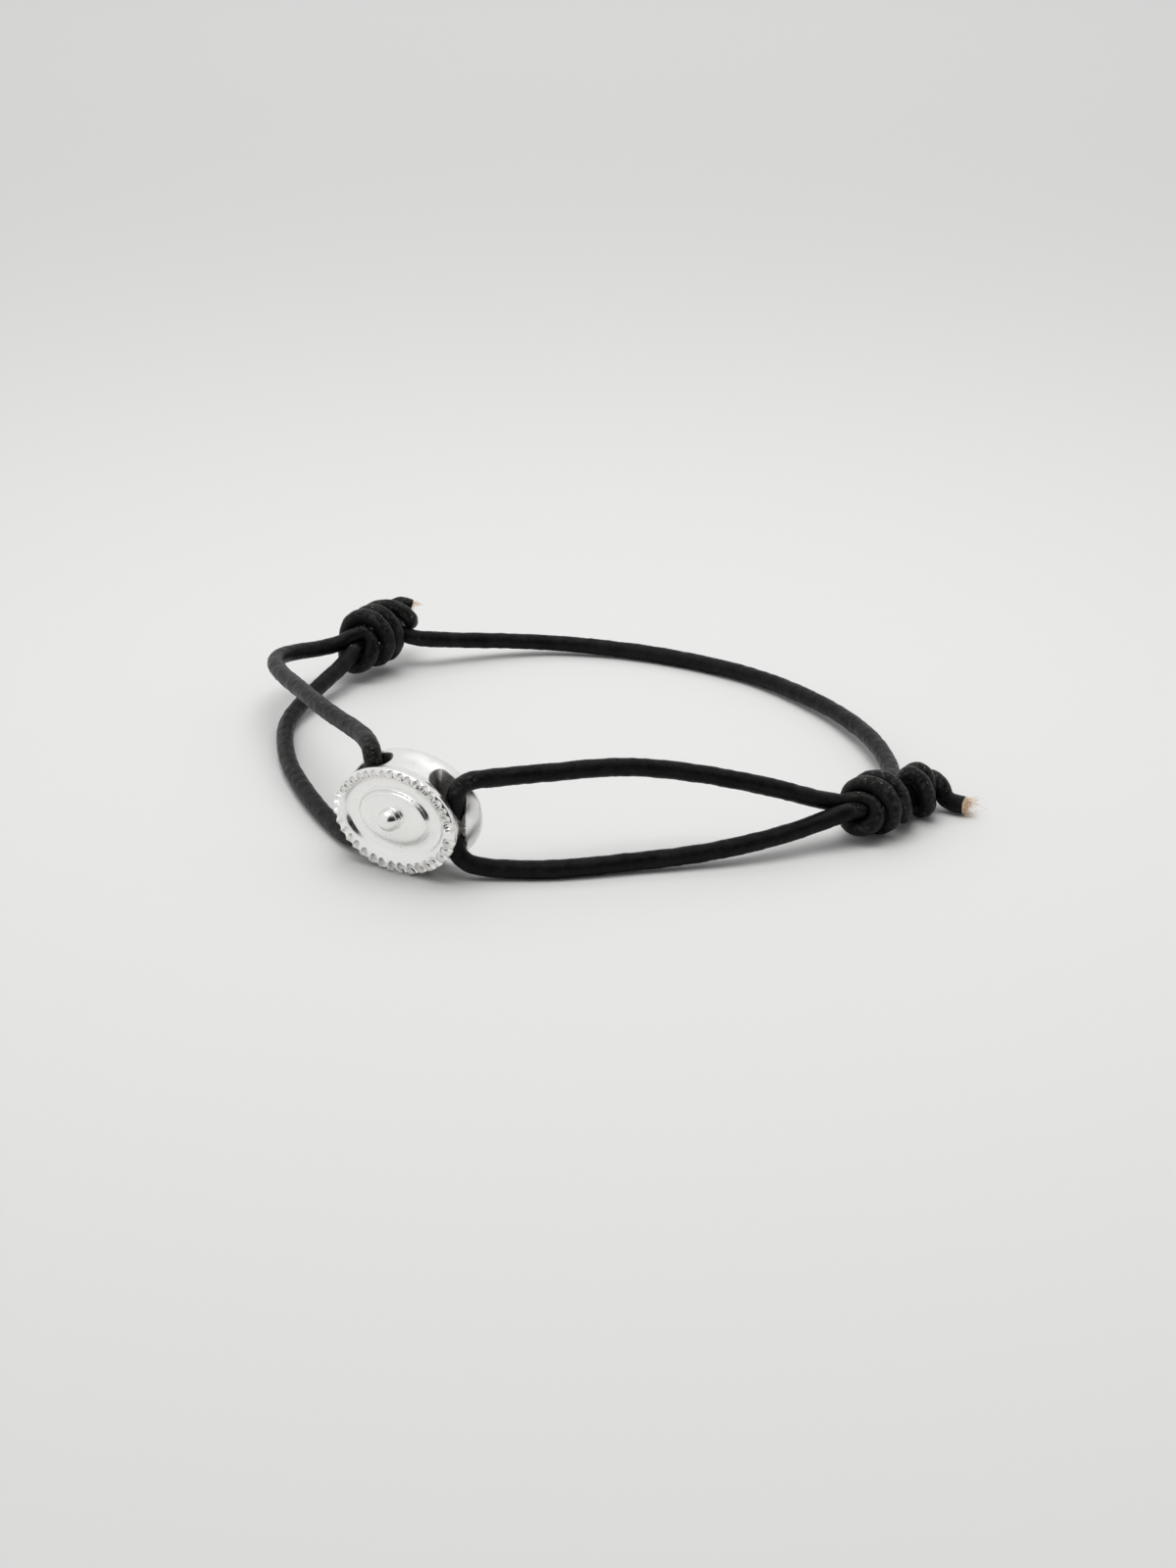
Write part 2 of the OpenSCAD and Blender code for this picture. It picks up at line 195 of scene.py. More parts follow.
# Cut ends: their rings as shares of the radius, how far they bulge, how flat they stay in the middle, and the
# size and height of their ragged relief.
CUT_SHARES = (0.93, 0.75, 0.5, 0.25)
CUT_BULGE = 0.06 * MM
CUT_FLATNESS = 4
RAGGED_SIZE = 0.16 * MM
RAGGED_HEIGHT = 0.12 * MM

# Loose fibres at the cut ends of the cord: how many, and how long at most.
RIGHT_FIBRES = (80, 1.1 * MM)
LEFT_FIBRES = (50, 0.9 * MM)
FIBRE_RADIUS = (0.015 * MM, 0.042 * MM)
FIBRE_SIDES = 5
FIBRE_STEPS = 6
# How far out on the cut they stand, how much they lean out, sway and curl, and how thin their tips are.
FIBRE_ROOM = 0.86
FIBRE_LEAN = 0.75
FIBRE_SWAY = 0.35
FIBRE_CURL = 0.55
FIBRE_TAPER = 0.75
# The shortest fibre as a share of the longest, and how much commoner the short ones are.
FIBRE_SHORTEST = 0.3
FIBRE_SHORTNESS = 1.5

# Bead: its middle in metres, and its sizes in millimetres.
BEAD_AT = Vector((-0.0023, -0.02384, 0.00465))
BEAD_LENGTH = 12.4
BEAD_HEIGHT = 9.3
BEAD_DEPTH = 4.2
# Its profile from back to front: shares of its length, height and depth, and a rise in millimetres.
BEAD_PROFILE = [
    (0.9, 0.88, 0.488, 0), (0.975, 0.968, 0.452, 0), (1, 1, 0.357, 0), (0.985, 0.98, 0.238, 0),
    (0.945, 0.935, 0.071, -0.03), (0.885, 0.91, -0.095, -0.06), (0.86, 0.9, -0.214, -0.12),
    (0.905, 0.93, -0.286, -0.17), (0.926, 0.955, -0.369, -0.2), (0.923, 0.953, -0.44, -0.2),
    (0.887, 0.903, -0.495, -0.18), (0.823, 0.817, -0.5, -0.05), (0.75, 0.731, -0.452, 0.12),
    (0.718, 0.677, -0.393, 0.13), (0.629, 0.58, -0.369, 0.13), (0.54, 0.484, -0.381, 0.13),
    (0.505, 0.452, -0.464, 0.13), (0.435, 0.366, -0.488, 0.13), (0.194, 0.161, -0.505, 0.13),
]
BEAD_BACK = 0.5
BEAD_FRONT = -0.51
FRONT_RISE = 0.13
BEAD_ANGLES = 240
PROFILE_STEPS = 5
BALL_DIAMETER = 1.9
BALL_FORWARD = 2.4
BALL_SEGMENTS = (64, 40)
# Slots for the cord: their width, where they start and end, how tall their tool is, and its round steps.
SLOT_WIDTH = 1.9
RIGHT_SLOT = (2.5, 5.5)
LEFT_SLOT = (-5.05, -1.3)
SLOT_RISE = 12
SLOT_STEPS = 32
# A point of the bead is in a slot's wall where it is no further from it than this.
SLOT_WALL = 0.12
NOTCH_COUNT = 38
# The notches stand closer at the top than at the bottom: how far they lean to the top, in degrees.
NOTCH_CROWDING = 4
# The flange that the notches are cut in: its half sizes, and how far it lies in front and below.
FLANGE_HALF = (5.74, 4.44)
FLANGE_FRONT = 2.03
FLANGE_DROP = 0.2
# Notches by their place round the rim, which starts at this angle: half width, half length, depth, how far
# out they stand as a share of the flange, and slant. Angles are in degrees.
NOTCH_ZONES = [
    (0, 0.35, 0.52, 0.55, 0.93, 0),
    (18, 0.37, 0.5, 0.68, 0.9, 10),
    (70, 0.32, 0.4, 0.56, 0.9, 8),
    (95, 0.28, 0.3, 0.46, 0.9, 0),
    (160, 0.34, 0.54, 0.48, 0.95, -10),
    (200, 0.36, 0.76, 0.48, 0.94, -28),
    (330, 0.37, 0.6, 0.54, 0.94, -10),
]
# How much each notch differs from its neighbours: in width and depth as shares, and in degrees.
NOTCH_WIDTHS = (0.92, 1.06)
NOTCH_DEPTHS = (0.85, 1.12)
NOTCH_TWIST = 6
NOTCH_WANDER = 0.8
NOTCH_SEGMENTS = (20, 12)
# The bead's skin: its finest detail, how it is eased, its faces, and the waves of the casting.
BEAD_VOXEL = 0.045
EASE_SHARE = 0.5
EASE_ROUNDS = 1
BEAD_TRIANGLES = 190000
CAST_WAVE = 0.03
CAST_WAVE_SIZE = 1.8

# Colours of the materials, and how much of each shows.
LEATHER_BLACK = (0.0015, 0.0015, 0.0016)
LEATHER_SOOT = (0.0065, 0.006, 0.0056)
RUBBED_GREY = (0.06, 0.058, 0.056)
RUBBED_SHARE = 0.45
FLECK_TAN = (0.3, 0.27, 0.23)
FLECK_SHARE = 0.9
CORE_TAN = (0.6, 0.34, 0.15)
CORE_PALE = (0.95, 0.88, 0.76)
SILVER_WHITE = (0.93, 0.925, 0.91)
# Painted shade deep in the bead's slots: a dark brownish colour in place of the silver.
SLOT_PAINTED_SHADE = (0.1, 0.085, 0.07)
SLOT_ROUGHNESS = 0.85

# The floor: how far it reaches from the middle, and its colour.
FLOOR_REACH = 3
FLOOR_COLOUR = (0.54, 0.54, 0.535)
# Soft lights: how far behind the aim, how high, how wide, and how strong.
NEAR_LIGHT = (0.01, 0.21, 0.16, 0.29)
FAR_LIGHT = (0.5, 0.45, 0.5, 1.1)
# The air is a white tent with a bright panel overhead and a wide dark opening at the front right.
TENT_BRIGHT = 0.79
PANEL_SIDE = (-0.18, -0.12, 0.97)
PANEL_EDGE = (0.91, 0.97)
PANEL_SHARE = 2.9
OPENING_SIDE = (0.82, -0.5, 0.28)
OPENING_EDGE = (0.68, 0.8)
OPENING_SHARE = 0.02
# The tent is pale all round its foot, up to this height above the horizon (as a share of the distance).
PALE_FOOT = (0.05, 0.09)

RANDOM_SEED = 7

scene = bpy.context.scene
random_shapes = random.Random(RANDOM_SEED)


# Camera

def add_camera():
    """The scene's camera, at the photograph's angle."""
    data = bpy.data.cameras.new("camera")
    data.lens = CAMERA_LENS
    data.sensor_width = CAMERA_SENSOR
    data.clip_start, data.clip_end = CAMERA_CLIP
    camera = bpy.data.objects.new("camera", data)
    back = Vector((
        math.sin(CAMERA_AZIMUTH) * math.cos(CAMERA_ELEVATION),
        -math.cos(CAMERA_AZIMUTH) * math.cos(CAMERA_ELEVATION),
        math.sin(CAMERA_ELEVATION)))
    camera.location = CAMERA_AIM + back * CAMERA_DISTANCE
    camera.rotation_mode = "QUATERNION"
    camera.rotation_quaternion = (-back).to_track_quat("-Z", "Y")
    scene.collection.objects.link(camera)
    scene.camera = camera


add_camera()


# Route of the cord

def with_full(rows, full):
    """Rows of a free stretch, with their fullness added."""
    return [(*row, full) for row in rows]


def placed(rows, at, turned):
    """Knot rows (right, up, along, full) as (x, y, z, full), where their knot stands."""
    s = math.sin(math.radians(turned))
    c = math.cos(math.radians(turned))
    return [
        (at[0] + right * s + along * c, at[1] - right * c + along * s, at[2] + up, full)
        for right, up, along, full in rows]


def turns(half, start, end, ahead):
    """Rows of turns that advance along the strand, clockwise as they go."""
    rows = []
    for i in range(round((end - start) * ROWS_PER_TURN) + 1):
        turn = start + i / ROWS_PER_TURN
        angle = math.tau * turn
        rows.append((
            half[0] * math.sin(angle),
            half[1] * math.cos(angle),
            TURN_PITCH * (turn - 0.5) + ahead,
            TURN_FULL))
    return rows


def sliding_knot(knot, crossing, link):
    """Rows of a sliding knot: its crossing, its turns and the link to its end knot."""
    wound = turns(knot["half"], FIRST_TURN_FROM, knot["end"], knot["ahead"])
    return placed(crossing + wound + link, knot["at"], knot["turned"])


piece_rows = {
    "right_end_knot": RIGHT_END_ROWS[::-1],
    "right_sliding_knot": sliding_knot(RIGHT_KNOT, RIGHT_CROSSING, RIGHT_LINK)[::-1],
    "leather_cord": (
        with_full(RIGHT_UPPER_LEG + RIGHT_CHANNEL + RIGHT_LOWER_LEG, FREE_FULL)
        + placed(RIGHT_STRAND, RIGHT_KNOT["at"], RIGHT_KNOT["turned"])
        + with_full(BACK_RUN, FREE_FULL)
        + placed(LEFT_STRAND, LEFT_KNOT["at"], LEFT_KNOT["turned"])
        + with_full(LEFT_LOWER_LEG + LEFT_CHANNEL + LEFT_UPPER_LEG, FREE_FULL)),
    "left_sliding_knot": sliding_knot(LEFT_KNOT, LEFT_CROSSING, LEFT_LINK),
    "left_end_knot": placed(LEFT_END_ROWS, LEFT_KNOT["at"], LEFT_KNOT["turned"]),
}
route_rows = np.array([row for rows in piece_rows.values() for row in rows], float)
route_rows[:, :3] += LOOP_SHIFT


def smooth(rows, steps):
    """A smooth curve through the rows, sampled at this many steps from each row to the next."""
    guides = np.vstack([2 * rows[0] - rows[1], rows, 2 * rows[-1] - rows[-2]])
    guides[2:-2] = rows[1:-1] - (rows[:-2] - 2 * rows[1:-1] + rows[2:]) / 6
    samples = []
    for i in range(len(rows) - 1):
        before, here, after, beyond = guides[i : i + 4]
        for step in range(steps):
            t = step / steps
            samples.append((
                (1 - t) ** 3 * before + (3 * t ** 3 - 6 * t ** 2 + 4) * here
                + (-3 * t ** 3 + 3 * t ** 2 + 3 * t + 1) * after + t ** 3 * beyond) / 6)
    samples.append((guides[-3] + 4 * guides[-2] + guides[-1]) / 6)
    return np.array(samples)


def lengths_along(points):
    """Distance along a line of points, at each of them."""
    steps = np.linalg.norm(np.diff(points[:, :3], axis=0), axis=1)
    return np.concatenate([[0], np.cumsum(steps)])


def rings_of_pieces():
    """Evenly spaced rings (x, y, z, full) along the whole cord, and each piece's first and last ring."""
    curve = smooth(route_rows, SAMPLES_PER_ROW)
    along = lengths_along(curve)
    last_row = 0
    places = [0.0]
    spans = {}
    for name, rows in piece_rows.items():
        first_row = last_row
        last_row = first_row + len(rows) - (1 if first_row == 0 else 0)
        start, end = along[first_row * SAMPLES_PER_ROW], along[last_row * SAMPLES_PER_ROW]
        count = round((end - start) / RING_SPACING)
        first_ring = len(places) - 1
        places.extend(np.linspace(start, end, count + 1)[1:])
        spans[name] = (first_ring, len(places) - 1)
    places = np.array(places)
    rings = np.stack([np.interp(places, along, curve[:, k]) for k in range(4)], axis=1)
    return rings, places, spans


def carried_sides(centres):
    """Heading and side direction of every ring, carried along so that the cord doesn't twist."""
    headings = np.gradient(centres, axis=0)
    headings /= np.linalg.norm(headings, axis=1)[:, None]
    sides = np.zeros_like(headings)
    side = np.cross(headings[0], (0, 0, 1))
    for i, heading in enumerate(headings):
        side = side - (side @ heading) * heading
        side /= np.linalg.norm(side)
        sides[i] = side
    return headings, sides


rings, ring_places, ring_spans = rings_of_pieces()
centres = rings[:, :3]
headings, sides = carried_sides(centres)
ups = np.cross(headings, sides)
angles = np.arange(CORD_SIDES) * math.tau / CORD_SIDES
outward = (
    np.cos(angles)[None, :, None] * sides[:, None, :]
    + np.sin(angles)[None, :, None] * ups[:, None, :])


# Cord surface: how far each point of each ring stands from the ring's middle

def blurred(field, reach):
    """The field averaged along the cord over this many rings each way."""
    padded = np.pad(field, [(reach, reach)] + [(0, 0)] * (field.ndim - 1), mode="edge")
    return sum(padded[i : i + len(field)] for i in range(2 * reach + 1)) / (2 * reach + 1)


def bend_of_rings():
    """Curvature of the cord at each ring, as a vector towards the inside of its bend."""
    bend = np.gradient(headings, axis=0) / np.gradient(ring_places)[:, None]
    return blurred(bend, BEND_SPREAD)


def uneven(points):
    """Height of the leather's unevenness at each point."""
    heights = np.zeros(len(points))
    for layer, (size, height) in enumerate(UNEVENNESS):
        offset = Vector([shift * layer for shift in LAYER_SHIFT])
        heights += [height * noise.noise(Vector(p) / size + offset) for p in points]
    return heights


def pressed(distances, radii):
    """Distances with the cord pressed flat where it lies against another stretch of itself."""
    pressed_distances = distances.copy()
    knotted = np.zeros(len(centres), bool)
    for first, last in (ring_spans[name] for name in ring_spans if name != "leather_cord"):
        knotted[first : last + 1] = True
    near_knot = blurred(knotted.astype(float), KNOT_SPREAD) > 0
    for i in np.nonzero(near_knot)[0]:
        apart = centres - centres[i]
        close = np.einsum("ij,ij->i", apart, apart) < CONTACT_REACH ** 2
        close &= np.abs(ring_places - ring_places[i]) > SAME_STRAND
        if not close.any():
            continue
        towards = apart[close]
        share = np.einsum("ij,ij->i", towards, towards) + radii[i] ** 2 - radii[close] ** 2
        facing = outward[i] @ towards.T
        reach = share[None, :] / (2 * np.maximum(facing, FACING_LEAST))
        limit = np.where(facing > FACING_LEAST, reach, np.inf)
        pressed_distances[i] = np.minimum(distances[i], limit.min(axis=1) - CONTACT_GAP)
    return pressed_distances


def softened(distances):
    """Distances with sharp steps eased, along the cord and round it."""
    for _ in range(SOFTENING_ROUNDS):
        round_it = (np.roll(distances, 1, axis=1) + 2 * distances + np.roll(distances, -1, axis=1)) / 4
        distances = (round_it + blurred(round_it, 1)) / 2
    return distances


full = rings[:, 3]
seen_full = np.where(full < NEARLY_FULL, np.minimum(full + KNOT_SWELL, FREE_FULL), FREE_FULL)
radii = CORD_THICKNESS / 2 * blurred(seen_full, THICKNESS_SPREAD)
bend = bend_of_rings()
inward = np.einsum("ijk,ik->ij", outward, bend) * CORD_THICKNESS / 2
round_points = centres[:, None, :] + outward * radii[:, None, None]
ground = uneven(round_points.reshape(-1, 3)).reshape(len(centres), CORD_SIDES)
distances = softened(pressed(radii[:, None] + np.zeros_like(ground), radii)) + ground
surface = centres[:, None, :] + outward * distances[:, :, None]


def new_object(name, mesh):
    """A mesh as an object in the scene."""
    piece = bpy.data.objects.new(name, mesh)
    scene.collection.objects.link(piece)
    return piece


def store(mesh, name, values):
    """Keeps a value for each point of the mesh, for the materials."""
    attribute = mesh.attributes.new(name, "FLOAT", "POINT")
    attribute.data.foreach_set("value", np.asarray(values, np.float32))


def smooth_shaded(mesh):
    """The mesh with smooth shading all over."""
    mesh.polygons.foreach_set("use_smooth", np.ones(len(mesh.polygons), bool))
    mesh.update()


def cut_end(ring_points, centre, heading):
    """Points that close a cut end of the cord, with a little ragged relief."""
    points = []
    for share in CUT_SHARES:
        for point in ring_points:
            flat = centre + (point - centre) * share
            ragged = noise.noise(Vector(flat) / RAGGED_SIZE) * RAGGED_HEIGHT
            points.append(flat + heading * (CUT_BULGE * (1 - share ** CUT_FLATNESS) + ragged))
    points.append(centre + heading * CUT_BULGE)
    return points


def cut_cap(around, start, outwards):
    """Faces that close a cut end, from the tube's last ring to the points that start here."""
    middle = start + len(CUT_SHARES) * CORD_SIDES
    rings_in = [list(range(first, first + CORD_SIDES)) for first in range(start, middle, CORD_SIDES)]
    faces = []
    for outer, inner in zip([around] + rings_in, rings_in):
        for k in range(CORD_SIDES):
            n = (k + 1) % CORD_SIDES
            faces.append([outer[k], outer[n], inner[n], inner[k]])
    for k in range(CORD_SIDES):
        faces.append([rings_in[-1][k], rings_in[-1][(k + 1) % CORD_SIDES], middle])
    return faces if outwards else [face[::-1] for face in faces]


def cord_piece(name):
    """One node of the cord as a dense tube, closed at its ends."""
    first, last = ring_spans[name]
    count = last - first + 1
    tube = surface[first : last + 1].reshape(-1, 3)
    i, k = np.meshgrid(np.arange(count - 1), np.arange(CORD_SIDES), indexing="ij")
    a = i * CORD_SIDES + k
    b = i * CORD_SIDES + (k + 1) % CORD_SIDES
    faces = np.stack([a, b, b + CORD_SIDES, a + CORD_SIDES], axis=-1).reshape(-1, 4).tolist()
    points = tube.tolist()
    cut_faces = []
    for at, heading, is_cut in (
            (0, -headings[first], first == 0), (count - 1, headings[last], last == len(centres) - 1)):
        around = list(range(at * CORD_SIDES, (at + 1) * CORD_SIDES))
        if is_cut:
            ring = tube[around]
            cap = cut_cap(around, len(points), at > 0)
            points.extend(point.tolist() for point in cut_end(ring, ring.mean(axis=0), heading))
            cut_faces.extend(range(len(faces), len(faces) + len(cap)))
            faces.extend(cap)
        else:
            faces.append(around if at > 0 else around[::-1])
    mesh = bpy.data.meshes.new(name + "_leather")
    mesh.from_pydata(points, [], faces)
    smooth_shaded(mesh)
    for index in cut_faces:
        mesh.polygons[index].material_index = 1
    cut_points = len(points) - len(tube)
    store(mesh, "inner_side", np.append(inward[first : last + 1], np.zeros(cut_points)))
    lay_out(mesh, first, count)
    piece = new_object(name + "_leather", mesh)
    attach(piece, "root")
    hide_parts(name)
    return piece


def lay_out(mesh, first, count):
    """A map of the tube in metres: round the cord, and along it."""
    layer = mesh.uv_layers.new(name="along_cord")
    loops = np.zeros(len(mesh.loops), np.int32)
    mesh.loops.foreach_get("vertex_index", loops)
    starts = np.zeros(len(mesh.polygons), np.int32)
    sizes = np.zeros(len(mesh.polygons), np.int32)
    mesh.polygons.foreach_get("loop_start", starts)
    mesh.polygons.foreach_get("loop_total", sizes)
    side = loops % CORD_SIDES
    ring = np.minimum(loops // CORD_SIDES, count - 1)
    around = side.astype(float)
    face_of_loop = np.repeat(np.arange(len(starts)), sizes)
    wraps = np.zeros(len(starts), bool)
    np.logical_or.at(wraps, face_of_loop[side == CORD_SIDES - 1], True)
    has_first = np.zeros(len(starts), bool)
    np.logical_or.at(has_first, face_of_loop[side == 0], True)
    crossing = (wraps & has_first & (sizes == 4))[face_of_loop]
    around[crossing & (side == 0)] = CORD_SIDES
    uv = np.stack([around / CORD_SIDES * math.pi * CORD_THICKNESS, ring_places[first + ring]], axis=1)
    layer.data.foreach_set("uv", uv.astype(np.float32).ravel())


pieces = {name: cord_piece(name) for name in piece_rows}


def fibre_line(root, start, heading, length):
    """A loose fibre's bent line, from inside the cut end outwards, and never under the surface."""
    sway = Vector([random_shapes.uniform(-1, 1) for _ in range(3)])
    outwards = (start - root) / (CORD_THICKNESS / 2)
    lean = (Vector(heading) + FIBRE_LEAN * outwards + FIBRE_SWAY * sway).normalized()
    curl = Vector([random_shapes.uniform(-1, 1) for _ in range(3)]) * FIBRE_CURL
    points = []
    for step in range(FIBRE_STEPS):
        t = step / (FIBRE_STEPS - 1)
        point = start + (lean * t + curl * t ** 2) * length
        point.z = max(point.z, FIBRE_RADIUS[1])
        points.append(point)
    return points


def fibres(name, end, heading, count, longest):
    """Loose tan fibres that stand out of a cut end."""
    across = Vector(heading).orthogonal().normalized()
    over = Vector(heading).cross(across)
    root = Vector(end)
    points, faces = [], []
    for _ in range(count):
        turn = random_shapes.uniform(0, math.tau)
        out = CORD_THICKNESS / 2 * FIBRE_ROOM * math.sqrt(random_shapes.random())
        start = root + (across * math.cos(turn) + over * math.sin(turn)) * out
        thick = random_shapes.uniform(*FIBRE_RADIUS)
        length = longest * random_shapes.uniform(FIBRE_SHORTEST, 1) ** FIBRE_SHORTNESS
        line = fibre_line(root, start, heading, length)
        first = len(points)
        for step, point in enumerate(line):
            radius = thick * (1 - FIBRE_TAPER * step / (FIBRE_STEPS - 1))
            for k in range(FIBRE_SIDES):
                angle = math.tau * k / FIBRE_SIDES
                points.append(point + (across * math.cos(angle) + over * math.sin(angle)) * radius)
        for step in range(FIBRE_STEPS - 1):
            for k in range(FIBRE_SIDES):
                n = (k + 1) % FIBRE_SIDES
                a = first + step * FIBRE_SIDES
                b = a + FIBRE_SIDES
                faces.append((a + k, a + n, b + n, b + k))
        faces.append(tuple(range(first, first + FIBRE_SIDES))[::-1])
        last = first + (FIBRE_STEPS - 1) * FIBRE_SIDES
        faces.append(tuple(range(last, last + FIBRE_SIDES)))
    mesh = bpy.data.meshes.new(name)
    mesh.from_pydata(points, [], faces)
    smooth_shaded(mesh)
    piece = new_object(name, mesh)
    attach(piece, "root")
    return piece


loose_fibres = [
    fibres("right_end_fibres", centres[0], -headings[0], *RIGHT_FIBRES),
    fibres("left_end_fibres", centres[-1], headings[-1], *LEFT_FIBRES),
]


# Bead, made in millimetres round its own middle and then set in its place

def closed_mesh(name, body):
    """The body as a mesh whose faces all look outwards."""
    bmesh.ops.recalc_face_normals(body, faces=body.faces)
    mesh = bpy.data.meshes.new(name)
    body.to_mesh(mesh)
    body.free()
    return mesh


def bead_body():
    """The oval body with its flange, dish and raised plateau, as a closed mesh."""
    rows = smooth(np.array(BEAD_PROFILE, float), PROFILE_STEPS)
    turn = np.arange(BEAD_ANGLES) * math.tau / BEAD_ANGLES
    points = []
    for length, height, depth, rise in rows:
        points.append(np.stack([
            BEAD_LENGTH / 2 * length * np.cos(turn),
            np.full(BEAD_ANGLES, BEAD_DEPTH * depth),
            BEAD_HEIGHT / 2 * height * np.sin(turn) + rise], axis=1))
    ends = [(0, BEAD_DEPTH * BEAD_BACK, 0), (0, BEAD_DEPTH * BEAD_FRONT, FRONT_RISE)]
    body = bmesh.new()
    verts = [body.verts.new(point) for point in np.concatenate(points + [ends])]
    for here in range(0, (len(rows) - 1) * BEAD_ANGLES, BEAD_ANGLES):
        ahead = here + BEAD_ANGLES
        for k in range(BEAD_ANGLES):
            n = (k + 1) % BEAD_ANGLES
            body.faces.new((verts[here + k], verts[here + n], verts[ahead + n], verts[ahead + k]))
    back, front = verts[-2:]
    last = (len(rows) - 1) * BEAD_ANGLES
    for k in range(BEAD_ANGLES):
        n = (k + 1) % BEAD_ANGLES
        body.faces.new((back, verts[n], verts[k]))
        body.faces.new((front, verts[last + k], verts[last + n]))
    return closed_mesh("bead_body", body)


def slot_cutter(tool, span):
    """Adds an upright slot with round ends to the cutting tool."""
    reach = SLOT_WIDTH / 2
    outline = []
    for middle, start in ((span[1] - reach, -math.pi / 2), (span[0] + reach, math.pi / 2)):
        for step in range(SLOT_STEPS + 1):
            angle = start + math.pi * step / SLOT_STEPS
            outline.append((middle + reach * math.cos(angle), reach * math.sin(angle)))
    low = [tool.verts.new((x, y, -SLOT_RISE / 2)) for x, y in outline]
    high = [tool.verts.new((x, y, SLOT_RISE / 2)) for x, y in outline]
    tool.faces.new(low[::-1])
    tool.faces.new(high)
    for k in range(len(outline)):
        n = (k + 1) % len(outline)
        tool.faces.new((low[k], low[n], high[n], high[k]))


def cut_away(piece, tool_mesh):
    """Cuts the tool's solid out of the piece."""
    tool = new_object("cutting_tool", tool_mesh)
    cut = piece.modifiers.new("cut", "BOOLEAN")
    cut.operation = "DIFFERENCE"
    cut.solver = "EXACT"
    cut.use_self = True
    cut.object = tool
    apply_modifiers(piece)
    bpy.data.objects.remove(tool)


def apply_modifiers(piece):
    """The piece's mesh, as its modifiers leave it."""
    graph = bpy.context.evaluated_depsgraph_get()
    graph.update()
    made = bpy.data.meshes.new_from_object(piece.evaluated_get(graph))
    piece.modifiers.clear()
    piece.data = made


def notch_cutter(tool, turn, zone):
    """Adds one round-bottomed notch across the rim to the cutting tool."""
    _, width, length, depth, place, slant = zone
    width *= random_shapes.uniform(*NOTCH_WIDTHS)
    depth *= random_shapes.uniform(*NOTCH_DEPTHS)
    middle = Vector((
        FLANGE_HALF[0] * place * math.cos(turn),
        -FLANGE_FRONT,
        FLANGE_HALF[1] * place * math.sin(turn) - FLANGE_DROP))
    radial = Vector((math.cos(turn) / FLANGE_HALF[0], 0, math.sin(turn) / FLANGE_HALF[1])).normalized()
    across = radial.cross(Vector((0, -1, 0)))
    swing = math.radians(slant + random_shapes.uniform(-NOTCH_TWIST, NOTCH_TWIST))
    long_axis = radial * math.cos(swing) + across * math.sin(swing)
    short_axis = across * math.cos(swing) - radial * math.sin(swing)
    around, over = NOTCH_SEGMENTS
    made = bmesh.ops.create_uvsphere(tool, u_segments=around, v_segments=over, radius=1)
    for vert in made["verts"]:
        x, y, z = vert.co
        vert.co = middle + long_axis * (x * length) + short_axis * (z * width) + Vector((0, y * depth, 0))


def notches():
    """The cutting tool for all the notches round the rim."""
    tool = bmesh.new()
    for i in range(NOTCH_COUNT):
        evenly = 360 * (i + 0.5) / NOTCH_COUNT
        degrees = evenly + NOTCH_CROWDING * math.cos(math.radians(evenly))
        zone = [zone for zone in NOTCH_ZONES if zone[0] <= degrees][-1]
        degrees += random_shapes.uniform(-NOTCH_WANDER, NOTCH_WANDER)
        notch_cutter(tool, math.radians(degrees), zone)
    return closed_mesh("notches", tool)


def slots():
    """The cutting tool for the two slots."""
    tool = bmesh.new()
    for span in (RIGHT_SLOT, LEFT_SLOT):
        slot_cutter(tool, span)
    return closed_mesh("slots", tool)


def add_ball(piece):
    """Joins the ball to the middle of the bead's front."""
    body = bmesh.new()
    body.from_mesh(piece.data)
    place = Matrix.Translation((0, -BALL_FORWARD, FRONT_RISE))
    around, over = BALL_SEGMENTS
    bmesh.ops.create_uvsphere(
        body, u_segments=around, v_segments=over, radius=BALL_DIAMETER / 2, matrix=place)
    body.to_mesh(piece.data)
    body.free()


def slot_depth(x, y, z):
    """How deep in a slot a point of the bead lies, in millimetres, or 0."""
    for low, high in (RIGHT_SLOT, LEFT_SLOT):
        reach = SLOT_WIDTH / 2
        nearest = min(max(x, low + reach), high - reach)
        if abs(math.hypot(x - nearest, y) - reach) < SLOT_WALL:
            edge = math.sqrt(max(0.0, 1 - (2 * x / BEAD_LENGTH) ** 2)) * BEAD_HEIGHT / 2
            return max(0.0, edge - abs(z))
    return 0.0


def make_one_skin(piece):
    """Melts the bead's parts into one dense mesh with eased edges."""
    remesh = piece.modifiers.new("one_skin", "REMESH")
    remesh.mode = "VOXEL"
    remesh.voxel_size = BEAD_VOXEL
    ease = piece.modifiers.new("ease", "SMOOTH")
    ease.factor = EASE_SHARE
    ease.iterations = EASE_ROUNDS
    apply_modifiers(piece)
    triangles = 2 * len(piece.data.polygons)
    if triangles > BEAD_TRIANGLES:
        thin = piece.modifiers.new("thin", "DECIMATE")
        thin.ratio = BEAD_TRIANGLES / triangles
        apply_modifiers(piece)


def vectors_of(mesh, name):
    """The places ("co") or the normals ("normal") of all the mesh's points."""
    values = np.zeros(len(mesh.vertices) * 3)
    mesh.vertices.foreach_get(name, values)
    return values.reshape(-1, 3)


